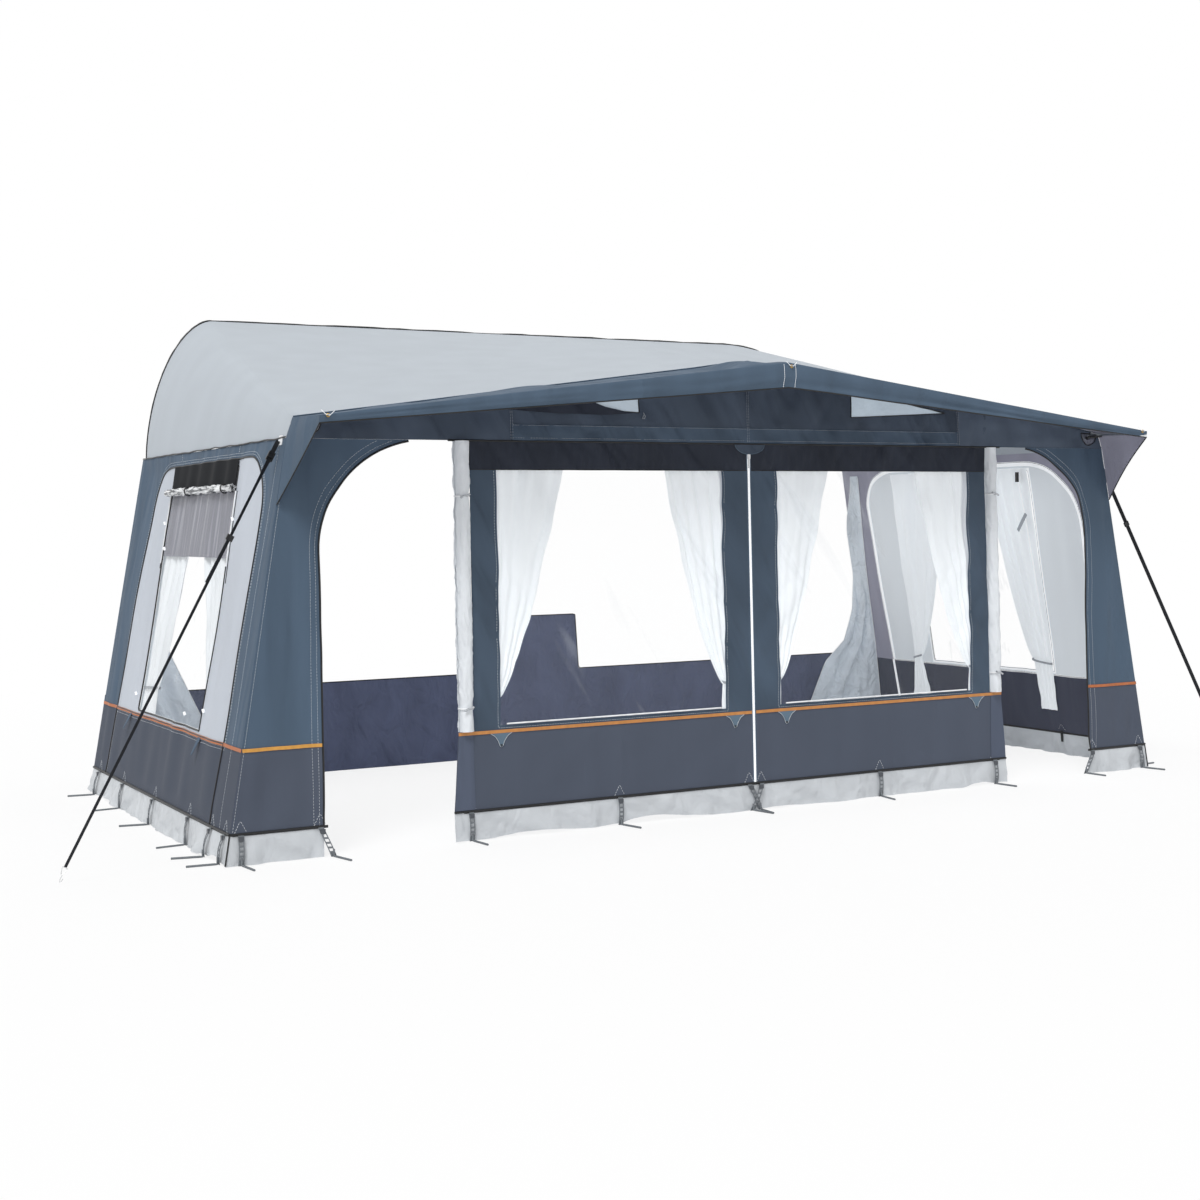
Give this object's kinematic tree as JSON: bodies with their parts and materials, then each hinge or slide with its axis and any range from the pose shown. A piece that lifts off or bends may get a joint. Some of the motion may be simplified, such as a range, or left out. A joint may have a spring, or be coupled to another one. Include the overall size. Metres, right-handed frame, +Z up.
{
  "type": "caravan awning",
  "caption": "Full caravan awning: sloping roof and canopy over a zipped window front with rolled-back doorways, window side walls, steel tube frame, curtains and pegging ladders.",
  "frame": {"origin": "on the ground, in the middle of the awning's box without its storm straps", "axes": "+X along the front wall, to the right seen from outside; +Y towards the caravan; +Z up"},
  "size_m": [6.6062, 2.83, 2.5701],
  "materials": {
    "slate_cloth": "coated woven polyester, matt",
    "dark_cloth": "coated woven polyester, matt",
    "roof_cloth": "PVC-coated polyester, satin",
    "mud_flap": "PVC sheet, satin",
    "door_cloth": "coated polyester, silver side out",
    "curtain_cloth": "soft woven polyester",
    "skirt_cloth": "coated polyester, matt",
    "vent_mesh": "woven mosquito mesh",
    "clear_film": "clear flexible PVC, glossy",
    "zip_white": "polyester tape and moulded coil",
    "bead_black": "extruded PVC cord",
    "frame_steel": "galvanised tube",
    "hook_steel": "bent spring wire",
    "ladder_plastic": "moulded, satin",
    "black_plastic": "moulded nylon",
    "strap_webbing": "woven polypropylene"
  },
  "bodies": {
    "awning": {"roof": "roof_cloth", "rail_bead": "bead_black", "canopy": "slate_cloth", "gable": "slate_cloth", "front_column_left": "slate_cloth", "front_column_right": "slate_cloth", "front_panel_left": "slate_cloth", "front_panel_right": "slate_cloth", "side_wall_left": "slate_cloth", "side_wall_right": "slate_cloth", "gable_vent_left": "vent_mesh", "gable_vent_right": "vent_mesh", "front_window_left": "clear_film", "front_window_right": "clear_film", "side_window_left": "clear_film", "side_window_right": "clear_film", "front_zip": "zip_white", "door_roll_left": "door_cloth", "door_roll_right": "door_cloth", "side_blind_left": "door_cloth", "mud_wall_left": "mud_flap", "mud_wall_centre": "mud_flap", "mud_wall_right": "mud_flap", "side_inset_left": "roof_cloth", "side_inset_right": "roof_cloth", "draught_skirt": "skirt_cloth", "front_curtain_left_outer": "curtain_cloth", "front_curtain_left_inner": "curtain_cloth", "front_curtain_right_outer": "curtain_cloth", "front_curtain_right_inner": "curtain_cloth", "side_curtain_left_front": "curtain_cloth", "side_curtain_left_back": "curtain_cloth", "side_curtain_right_front": "curtain_cloth", "side_curtain_right_back": "curtain_cloth", "upright_left_outer": "frame_steel", "roof_pole_left": "frame_steel", "upright_right_outer": "frame_steel", "roof_pole_right": "frame_steel", "upright_centre_outer": "frame_steel", "roof_pole_centre": "frame_steel", "eave_beam": "frame_steel", "canopy_tube": "frame_steel", "storm_strap_left": "strap_webbing", "strap_hook_left": "hook_steel", "storm_strap_right": "strap_webbing", "strap_hook_right": "hook_steel"},
    "zip_slider": {"zip_slider": "zip_white"},
    "upright_left_foot_tube": {"upright_left_foot_tube": "frame_steel"},
    "upright_left_clamp_lever": {"upright_left_clamp_lever": "black_plastic"},
    "upright_right_foot_tube": {"upright_right_foot_tube": "frame_steel"},
    "upright_right_clamp_lever": {"upright_right_clamp_lever": "black_plastic"},
    "upright_centre_foot_tube": {"upright_centre_foot_tube": "frame_steel"},
    "upright_centre_clamp_lever": {"upright_centre_clamp_lever": "black_plastic"},
    "ladders_front_left": {"ladders_front_left": "ladder_plastic"},
    "ladders_front_centre": {"ladders_front_centre": "ladder_plastic"},
    "ladders_front_right": {"ladders_front_right": "ladder_plastic"},
    "ladders_side_left": {"ladders_side_left": "ladder_plastic"},
    "ladders_side_right": {"ladders_side_right": "ladder_plastic"},
    "strap_buckle_left": {"strap_buckle_left": "black_plastic"},
    "strap_buckle_right": {"strap_buckle_right": "black_plastic"}
  },
  "joints": [
    {"name": "zip_pull", "type": "slide", "parent": "awning", "child": "zip_slider", "axis": [0, 0.0147, 0.9999], "range_m": [-1.52, 0]},
    {"name": "upright_left_length", "type": "slide", "parent": "awning", "child": "upright_left_foot_tube", "axis": [0.1628, 0.0145, 0.9866], "range_m": [0, 0.2]},
    {"name": "upright_left_clamp", "type": "hinge", "parent": "awning", "child": "upright_left_clamp_lever", "pos_m": [-2.44449, -1.00763, 0.88644], "axis": [0.9867, 0, -0.1628], "range_deg": [0, 90]},
    {"name": "upright_right_length", "type": "slide", "parent": "awning", "child": "upright_right_foot_tube", "axis": [-0.1628, 0.0145, 0.9866], "range_m": [0, 0.2]},
    {"name": "upright_right_clamp", "type": "hinge", "parent": "awning", "child": "upright_right_clamp_lever", "pos_m": [2.44449, -1.00763, 0.88644], "axis": [0.9867, 0, 0.1628], "range_deg": [0, 90]},
    {"name": "upright_centre_length", "type": "slide", "parent": "awning", "child": "upright_centre_foot_tube", "axis": [0, 0.0147, 0.9999], "range_m": [0, 0.2]},
    {"name": "upright_centre_clamp", "type": "hinge", "parent": "awning", "child": "upright_centre_clamp_lever", "pos_m": [0, -1.00763, 0.88257], "axis": [1, 0, 0], "range_deg": [0, 90]},
    {"name": "ladders_front_left_swing", "type": "hinge", "parent": "awning", "child": "ladders_front_left", "pos_m": [0, -1.08599, 0.13703], "axis": [-1, 0, 0], "range_deg": [0, 90]},
    {"name": "ladders_front_centre_swing", "type": "hinge", "parent": "awning", "child": "ladders_front_centre", "pos_m": [0, -1.08599, 0.13703], "axis": [-1, 0, 0], "range_deg": [0, 90]},
    {"name": "ladders_front_right_swing", "type": "hinge", "parent": "awning", "child": "ladders_front_right", "pos_m": [0, -1.08599, 0.13703], "axis": [-1, 0, 0], "range_deg": [0, 90]},
    {"name": "ladders_side_left_swing", "type": "hinge", "parent": "awning", "child": "ladders_side_left", "pos_m": [-2.62035, 0, 0.13749], "axis": [0, 1, 0], "range_deg": [0, 90]},
    {"name": "ladders_side_right_swing", "type": "hinge", "parent": "awning", "child": "ladders_side_right", "pos_m": [2.62035, 0, 0.13749], "axis": [0, -1, 0], "range_deg": [0, 90]},
    {"name": "strap_buckle_left_slide", "type": "slide", "parent": "awning", "child": "strap_buckle_left", "axis": [-0.4737, -0.0294, -0.8802], "range_m": [-0.3, 0.3]},
    {"name": "strap_buckle_right_slide", "type": "slide", "parent": "awning", "child": "strap_buckle_right", "axis": [0.4737, -0.0294, -0.8802], "range_m": [-0.3, 0.3]}
  ]
}
